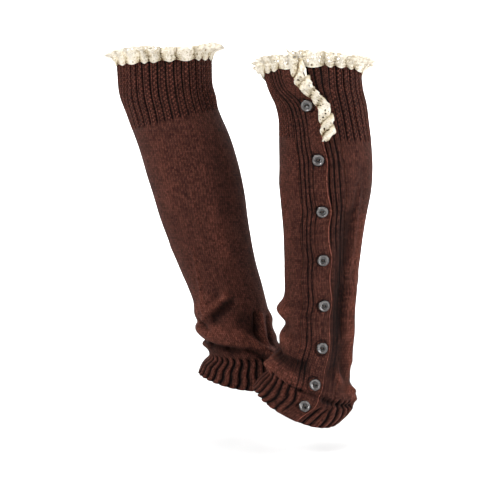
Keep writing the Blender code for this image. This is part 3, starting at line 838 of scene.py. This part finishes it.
# %% [markdown]
# ## Crochet lace
# The lace is a narrow cream cotton strip, gathered so that it stands in round ruffles with deep creases
# between, with holes of uneven size all over and a beaded edge. One function makes both strips, on the rim
# and on the flap's edge, from a surface that gives a point for each length along the sewn edge and each t,
# from 0 at that edge to 1 at the free one. The strip is cut into square loops of yarn, and the four cells in
# the middle of a loop are left out, with the eight corners round them moved to a circle: that is a hole. The
# loops are spaced evenly along the gathered cloth, not along the rim.

# %% Lace constants
LOOP = 4.0
LOOP_ROWS = 4
RUFFLE_PITCH = 17.0
PICOT = 2.0
PICOT_PITCH = 5.2
# How wide the strip stands, in mm, which turns a picot's length into a share of t
STANDING_WIDTH = 14
SMALL_HOLE = 0.34
# How much a large hole adds to a small one's radius, in cells, for each row of loops from the sewn edge
LARGE_HOLE = np.array([0.4, 1.0, 0.9, 0.5])


def ruffle_phase(length, start):
    """Irregular ruffles: 2 pi length / 17 mm, bent by two slower waves."""
    turns = 2 * math.pi * (length + start)
    return turns / RUFFLE_PITCH + 1.2 * np.sin(turns / 71) + 0.7 * np.sin(turns / 33 + 1.7)


def shell(phase):
    """One round shell to a ruffle, with a cusp in the crease between two: |sin(phase/2 + pi/4)|."""
    return abs(np.sin(phase / 2 + math.pi / 4))


# %% Net of holes
def cell_middle(count, shift=0):
    """For each grid line, its signed distance in cells to the middle of its loop: (k + shift) mod 4 - 2."""
    return (count + shift) % 4 - 2


def lace_net(loops):
    """A strip of loops, four cells to a loop. The points round a hole move to a circle about its middle.

    It gives each point's column and row, where it moves to across and along the strip, the cells to keep,
    which points lie beside a hole, and the holes' radii in cells. A hash of sines picks the large holes.
    """
    column, row = np.meshgrid(np.arange(4 * loops + 1), np.arange(4 * LOOP_ROWS + 1))
    band = np.minimum(row // 4, LOOP_ROWS - 1)
    shift = 2 * (band % 2)
    x = cell_middle(column, shift)
    y = row - 4 * band - 2
    number = (column + shift) // 4
    chance = (43758.5 * np.sin(12.9898 * number + 78.233 * band)) % 1
    size = SMALL_HOLE + smooth_step((chance - 0.62) / 0.3) * LARGE_HOLE[band]
    beside = np.maximum(abs(x), abs(y)) == 1
    at_hole = beside & (column > 2) & (column < 4 * loops - 2)
    pull = np.where(at_hole, size / np.hypot(np.where(at_hole, x, 1), y), 1)
    across = (column - x) + x * pull
    along = (row - y) + y * pull
    cell_x = cell_middle(column[:-1, :-1], shift[:-1, :-1]) + 0.5
    cell_y = row[:-1, :-1] - 4 * band[:-1, :-1] - 2 + 0.5
    inner = (column[:-1, :-1] > 2) & (column[:-1, :-1] < 4 * loops - 3)
    keep = ~((abs(cell_x) < 1) & (abs(cell_y) < 1) & inner)
    return column, row, across, along, keep, beside, size


# %% Lace strip
def yarn_relief(column, row, cloth_length, t, beside):
    """Half the yarn's thickness and how far it is raised, in mm: less beside a hole, plus beads and waves."""
    half = np.where(beside, 0.3, 0.62)
    half = np.where((row == 0) | (row == 4 * LOOP_ROWS), 0.35, half)
    raised = np.where(beside, -0.3, 0.35)
    raised = raised + 0.6 * ((1237.7 * np.sin(7.1 * column + 31.7 * row)) % 1 - 0.5)
    return half, raised + 0.7 * np.sin(cloth_length / 1.9 + 2.3 * np.sin(9 * t)) * t


def add_lace(cuff, name, surface, phase, total, material):
    """A gathered strip: surface(length, t) gives its points, and phase(length, t) its ruffles."""
    fine = np.linspace(0, total, 2400)
    middle = surface(fine, np.full_like(fine, 0.6))
    walked = np.concatenate([[0], np.cumsum(np.linalg.norm(np.diff(middle, axis=0), axis=1))]) / MM
    loops = round(walked[-1] / LOOP)
    column, row, across, along, keep, beside, size = lace_net(loops)
    t = along / (4 * LOOP_ROWS)
    cloth_length = across / (4 * loops) * walked[-1]
    length = np.interp(cloth_length, walked, fine)
    picot = PICOT * abs(np.sin(math.pi * cloth_length / PICOT_PITCH)) ** 0.6 * smooth_step((t - 0.8) / 0.2)
    points = surface(length, t + picot / STANDING_WIDTH)
    slope_up, slope_along = np.gradient(points, axis=(0, 1))
    normal = np.cross(slope_along, slope_up)
    normal /= np.linalg.norm(normal, axis=-1, keepdims=True) + 1e-12
    half, raised = yarn_relief(column, row, cloth_length, t, beside)
    points = points + MM * raised[..., None] * normal
    half = MM * half[..., None] * 0.85 * cuff.side
    cloth = MM * np.stack([cloth_length, t * LOOP * LOOP_ROWS], axis=-1)
    # Painted shade: darker near the sewn edge, in the creases between the shells, and round the rim of each
    # hole, most round a large one
    shade = -0.35 + 0.15 * t + 0.9 * shell(phase(length, t)) ** 0.8
    shade = shade - 0.35 * beside * size
    lace = add_wall(cuff, name, points + normal * half, points - normal * half, cloth, shade, material, keep)
    print(f"  {loops} loops round, {walked[-1] / total:.2f} times its sewn length")
    return lace, walked[-1]


# %% Lace on the rim
LACE_HEIGHT = 15.5
LACE_TUCK = 20.0
LACE_COVER = 3.5


def curl(lean, length, t):
    """A strip L long, bent outwards by lean: up = L sin(lean t)/lean, out = L (1 - cos(lean t))/lean."""
    lean = np.where(abs(lean) < 0.05, 0.05, lean)
    return length * np.sin(lean * t) / lean, length * (1 - np.cos(lean * t)) / lean


def rim_surface(cuff, start):
    """The rim lace: sewn just under the rim, outside the knit, it stands up and curls out by turns."""
    first = closing_line(cuff, LENGTH) - degrees_of(cuff, LENGTH, LACE_TUCK)
    last = flap_edge(cuff, LENGTH) + 360
    total = float(np.radians(last - first) * radius(cuff, LENGTH))

    def phase_at(length, t):
        return ruffle_phase(length, start)

    def surface(length, t):
        phase = phase_at(length, t)
        skew = 3.4 * t * np.sin(2 * phase)
        angle = first + (last - first) * length / total + degrees_of(cuff, LENGTH, skew)
        tall = LACE_HEIGHT + 10.0 * (shell(phase) - 0.6) + 2.0 * np.sin(length / 17 + start)
        up, out = curl(0.45 + 0.95 * np.sin(phase), tall, t)
        free = 0.25 + 0.75 * smooth_step((length - LACE_TUCK + 8) / 12)
        lift = panel_lift(cuff, angle, LENGTH) + 0.9 + (out + 2.2 * np.sin(phase) * t) * free
        return place(cuff, angle, LENGTH - LACE_COVER * (1 + 0.35 * np.sin(phase)) + up, lift)

    return surface, phase_at, total


# %% Lace on the flap's edge
FLAP_LACE_WIDTH = 12.5
FLAP_LACE_LOW = 353.0
FLAP_LACE_HIGH = 441.0


def flap_surface(cuff, start):
    """The flap's lace: it lies back over the button band, rippling, and fans round the corner at the rim."""
    total = FLAP_LACE_HIGH - FLAP_LACE_LOW

    def phase_at(length, t):
        return ruffle_phase(1.25 * length - 9 * t, start)

    def surface(length, t):
        phase = phase_at(length, t)
        sewn = FLAP_LACE_LOW + length
        corner = 1.35 * smooth_step((sewn - 422) / 18)
        narrow = smooth_step((length + 7) / 15)
        wide = (FLAP_LACE_WIDTH + 4.0 * smooth_step((sewn - 392) / 20) + 2.5 * (shell(phase) - 0.6)) * narrow
        slant = t * (2.2 * np.sin(2 * phase) + 3.5 * narrow)
        rise = sewn + wide * t * np.sin(corner) + slant * np.cos(corner)
        reach = -1.8 - 1.0 * np.sin(phase + 0.8) + wide * t * np.cos(corner) - slant * np.sin(corner)
        angle = flap_edge(cuff, np.minimum(rise, LENGTH)) + degrees_of(cuff, rise, reach)
        lift = BAND_RISE + 0.9 - 0.9 * t + 4.0 * (1 + np.sin(phase)) * t**0.8
        return place(cuff, angle, rise, lift)

    return surface, phase_at, total


# %% Lace material
def lace_material():
    """Mercerised cotton crochet: warm cream, with painted tan shade where it is gathered, and a fine twist in
    the thread.
    """
    made, tree, shader = new_material("cotton_crochet", 0.8, 0.25)
    cloth = add_node(tree, "UVMap", uv_map="cloth")
    height = add_node(tree, "Attribute", attribute_name="height")
    thread = add_node(tree, "TexNoise", {"Vector": cloth.outputs["UV"], "Scale": 1100.0, "Detail": 2.0})
    patch = add_node(tree, "TexNoise", {"Vector": cloth.outputs["UV"], "Scale": 160.0, "Detail": 2.0})
    spot = add_node(tree, "VectorMath", {0: cloth.outputs["UV"], "Scale": 1 / (1.3 * MM)}, operation="SCALE")
    cell = add_node(tree, "VectorMath", {0: spot.outputs[0]}, operation="FLOOR")
    knot = add_node(tree, "TexWhiteNoise", {"Vector": cell.outputs[0]}, noise_dimensions="2D")
    uneven_dye = add_node(tree, "Math", {0: patch.outputs["Fac"], 1: knot.outputs["Value"]}, operation="ADD")
    shaded = {0: uneven_dye.outputs[0], 1: 0.45, 2: height.outputs["Fac"]}
    mixed = add_node(tree, "Math", shaded, operation="MULTIPLY_ADD")
    ramp = add_node(tree, "ValToRGB", {"Fac": mixed.outputs[0]})
    # The two darker stops are painted shade, and the lightest is the cotton's own cream
    set_stops(ramp, [(0.2, "#5b4327"), (1.0, "#f0e8d9"), (0.5, "#c9b998")])
    tree.links.new(ramp.outputs["Color"], shader.inputs["Base Color"])
    knots = add_node(tree, "TexVoronoi", {"Vector": cloth.outputs["UV"], "Scale": 620.0})
    knotted = {0: knots.outputs["Distance"], 1: -1.2, 2: thread.outputs["Fac"]}
    twisted = add_node(tree, "Math", knotted, operation="MULTIPLY_ADD")
    relief = add_node(tree, "Bump", {"Height": twisted.outputs[0], "Strength": 0.9, "Distance": 0.0009})
    tree.links.new(relief.outputs[0], shader.inputs["Normal"])
    return made


# Crocheted cotton: matte and cream, with painted tan shade in its creases and round its holes
crochet = lace_material()


# %% Both strips of each cuff
def add_laces(cuff):
    """Both lace strips of a cuff."""
    start = 7 if cuff.side > 0 else 23
    surface, phase, total = rim_surface(cuff, start)
    rim, made_length = add_lace(cuff, "rim_lace", surface, phase, total, crochet)
    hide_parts(f"{cuff.name}_top_lace")
    surface, phase, total = flap_surface(cuff, 4)
    flap, made_length = add_lace(cuff, "flap_edging", surface, phase, total, crochet)
    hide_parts(f"{cuff.name}_flap_lace")


for cuff in (LEFT, RIGHT):
    add_laces(cuff)

# %% [markdown]
# ## Buttons
# The buttons are cast resin that imitates smoked shell: glossy, smoke grey, 14 mm across, with a raised rim,
# a dished face and an eye-shaped hollow that holds two thread holes. Each is turned about its own axis as a
# height over radius and angle, and carried to the band's surface. Dark thread holds it: a short shank under
# its back, and two stitches across its eye.


# %% Where a button sits
def button_seat(cuff, rise):
    """A button's frame: its Z stands out of the band, and it clears the highest cloth under it."""
    angle = flap_edge(cuff, rise) - degrees_of(cuff, rise, BUTTON_INSET)
    step = degrees_of(cuff, rise, BUTTON_RADIUS)
    beside = [Vector(place(cuff, angle + turn, rise, BAND_RISE)) for turn in (-step, step)]
    level = [Vector(place(cuff, angle, rise + reach, BAND_RISE)) for reach in (-BUTTON_RADIUS, BUTTON_RADIUS)]
    across = beside[1] - beside[0]
    along = level[1] - level[0]
    out = (cuff.side * across.cross(along)).normalized()
    middle = Vector(place(cuff, angle, rise, BAND_RISE))
    turn, reach = np.meshgrid(np.linspace(0, 2 * math.pi, 24), [2.0, 4.5, BUTTON_RADIUS])
    around = angle + degrees_of(cuff, rise, reach * np.cos(turn))
    under = place(cuff, around, rise + reach * np.sin(turn), BAND_RISE)
    clear = float(np.max((under.reshape(-1, 3) - np.array(middle)) @ np.array(out)))
    along = (along - along.dot(out) * out).normalized()
    seat = middle + (max(clear, 0) + BUTTON_GAP * MM) * out
    return Matrix.Translation(seat) @ Matrix((along.cross(out), along, out)).transposed().to_4x4()


# %% Button shape
BUTTON_SIDES = 48
# Half the eye's length and width, how far a hole's middle is from the axis, and its radius, in mm
EYE_REACH = 3.9
EYE_WIDE = 1.75
HOLE_PLACE = 1.45
HOLE_RADIUS = 0.95
# The dish is all that follows this ring of the profile
DISH_START = 11
# Reach from the axis and height, in mm: flat back, round rim, dished face
BUTTON_PROFILE = [
    (0.0, 0.3), (2.5, 0.3), (5.0, 0.2), (6.1, 0.35), (6.75, 0.75), (7.0, 1.3), (7.05, 1.9), (6.95, 2.45),
    (6.6, 2.95), (6.1, 3.15), (5.6, 3.08), (5.15, 2.75), (4.75, 2.45), (4.2, 2.3), (3.7, 2.22), (3.3, 2.18),
    (2.9, 2.15), (2.55, 2.13), (2.25, 2.12), (1.95, 2.11), (1.65, 2.1), (1.35, 2.1), (1.05, 2.1), (0.7, 2.1),
    (0.0, 2.1),
]


def button_points():
    """Rings of points in mm: the profile turned, less the eye-shaped hollow and the two thread holes."""
    reach, height = np.array(BUTTON_PROFILE).T[:, :, None]
    turn = np.linspace(0, 2 * math.pi, BUTTON_SIDES, endpoint=False)[None, :]
    x = reach * np.cos(turn)
    y = reach * np.sin(turn)
    face = np.arange(len(BUTTON_PROFILE))[:, None] > DISH_START
    eye = smooth_step((1 - (x / EYE_REACH) ** 2 - abs(y / EYE_WIDE) ** 1.4) / 0.35)
    holes = smooth_step((HOLE_RADIUS - np.hypot(abs(x) - HOLE_PLACE, y)) / 0.35)
    return np.stack(np.broadcast_arrays(x, y, height - face * (0.5 * eye + 1.3 * holes)), axis=-1)


def ring_faces(rings):
    """Points and faces of rings (count, sides, 3) whose end rings are single points: quads, then two fans."""
    count, sides = rings.shape[:2]
    middle = rings[1:-1].reshape(-1, 3)
    points = np.concatenate([middle, rings[:1, 0], rings[-1:, 0]])
    index = np.arange(len(middle)).reshape(count - 2, sides)
    after = np.roll(index, -1, axis=1)
    quads = np.stack([index[:-1], after[:-1], after[1:], index[1:]], axis=-1).reshape(-1, 4)
    low = np.stack([after[0], index[0], np.full(sides, len(middle))], axis=-1)
    high = np.stack([index[-1], after[-1], np.full(sides, len(middle) + 1)], axis=-1)
    return points, quads.tolist() + low.tolist() + high.tolist()


# %% One button
def seated(cuff, rise, points):
    """Points in a button's own frame, in mm, carried to its seat: turned with it, then moved to it."""
    seat = np.array(button_seat(cuff, rise))
    return MM * points @ seat[:3, :3].T + seat[:3, 3]


def add_button(cuff, number, rise, material):
    """One button: its rings joined by quads, with a fan of triangles at each end of the axis."""
    points, faces = ring_faces(button_points())
    made = new_piece(f"{cuff.name}_button_{number}_shell", seated(cuff, rise, points), faces, material)
    ring = np.hypot(points[:, 0], points[:, 1]) / BUTTON_RADIUS
    made.data.attributes.new("ring", "FLOAT", "POINT").data.foreach_set("value", ring.astype(np.float32))
    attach(made, "root")
    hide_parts(f"{cuff.name}_button_{number}")


# %% Button thread
THREAD = 0.34
THREAD_SIDES = 8


def thread_tube(x, y, z, thick):
    """A tube in mm along a path at constant y: path + thick (cos(u) A + sin(u) T x A), with A along y.

    T is the direction along the path.
    """
    path = np.stack([x, np.full_like(x, y), z], axis=-1)
    ahead = np.gradient(path, axis=0)
    ahead /= np.linalg.norm(ahead, axis=-1, keepdims=True)
    side = np.array([0.0, 1.0, 0.0])
    turn = np.linspace(0, 2 * math.pi, THREAD_SIDES, endpoint=False)[None, :, None]
    around = np.cos(turn) * side + np.sin(turn) * np.cross(ahead, side)[:, None, :]
    return path[:, None, :] + thick[:, None, None] * around


def thread_tubes():
    """A button's thread: a shank from the cloth to its back, and two stitches that arch from hole to hole.

    Each tube's thickness follows (1 - s^8)^(1/2), with s from -1 to 1 along it, so that both ends close.
    """
    along = np.linspace(-1, 1, 15)
    full = (1 - along**8) ** 0.5
    tubes = [thread_tube(0.01 * along, 0.0, 1.5 * along - 1.0, 1.3 * full * (0.8 + 0.2 * along**2))]
    for y in (-THREAD, THREAD):
        tubes.append(thread_tube(1.5 * along, y, 0.8 + 1.25 * (1 - along**4), THREAD * full))
    return tubes


def add_button_threads(cuff, material):
    """All the thread of a cuff's buttons, as one piece."""
    points = []
    faces = []
    for rise in BUTTON_RISES:
        for rings in thread_tubes():
            first = sum(len(block) for block in points)
            tube, tube_faces = ring_faces(rings)
            points.append(seated(cuff, rise, tube))
            faces += [[first + corner for corner in face] for face in tube_faces]
    made = new_piece(f"{cuff.name}_button_threads", np.concatenate(points), faces, material)
    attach(made, "root")


# %% Thread material
def thread_material():
    """Waxed linen button thread: near black brown, with the twist of its plies as a fine bump."""
    made, tree, shader = new_material("waxed_linen_thread", 0.6, 0.35)
    place_of = add_node(tree, "TexCoord")
    twist = add_node(tree, "TexNoise", {"Vector": place_of.outputs["Object"], "Scale": 1800.0, "Detail": 1.0})
    ramp = add_node(tree, "ValToRGB", {"Fac": twist.outputs["Fac"]})
    set_stops(ramp, [(0.35, "#1b100c"), (0.7, "#4a3a31")])
    tree.links.new(ramp.outputs["Color"], shader.inputs["Base Color"])
    relief = add_node(tree, "Bump", {"Height": twist.outputs["Fac"], "Strength": 0.5, "Distance": 0.0002})
    tree.links.new(relief.outputs[0], shader.inputs["Normal"])
    return made


# %% Button material
def button_material():
    """Smoked shell resin: dark middle, silvery ring, faint cloudy bands, painted shade at the outer edge,
    under a clear gloss.
    """
    made, tree, shader = new_material("smoked_shell_resin", 0.14, 0.6)
    ring = add_node(tree, "Attribute", attribute_name="ring")
    place_of = add_node(tree, "TexCoord")
    cloud = add_node(tree, "TexNoise", {"Vector": place_of.outputs["Object"], "Scale": 170.0, "Detail": 2.0})
    shift = add_node(tree, "MapRange", {"Value": cloud.outputs["Fac"], "To Min": -0.26, "To Max": 0.2})
    mixed = add_node(tree, "Math", {0: ring.outputs["Fac"], 1: shift.outputs[0]}, operation="ADD")
    ramp = add_node(tree, "ValToRGB", {"Fac": mixed.outputs[0]})
    # The outermost stop, dark again, is painted shade along the button's outer edge
    stops = [(0.2, "#0f0b0a"), (0.95, "#1d1918"), (0.52, "#1c1716"), (0.64, "#5d5856"), (0.82, "#474240")]
    set_stops(ramp, stops)
    tree.links.new(ramp.outputs["Color"], shader.inputs["Base Color"])
    shader.inputs["Coat Weight"].default_value = 0.6
    shader.inputs["Coat Roughness"].default_value = 0.06
    return made


# Polished resin: sharp small highlights on the rim and in the dish
resin = button_material()
# Waxed linen: dull and dark, so that it reads as a shadow in the button's eye
thread = thread_material()
for cuff in (LEFT, RIGHT):
    add_button_threads(cuff, thread)
    for number, rise in enumerate(BUTTON_RISES, start=1):
        add_button(cuff, number, rise, resin)
print("buttons:", 2 * len(BUTTON_RISES))
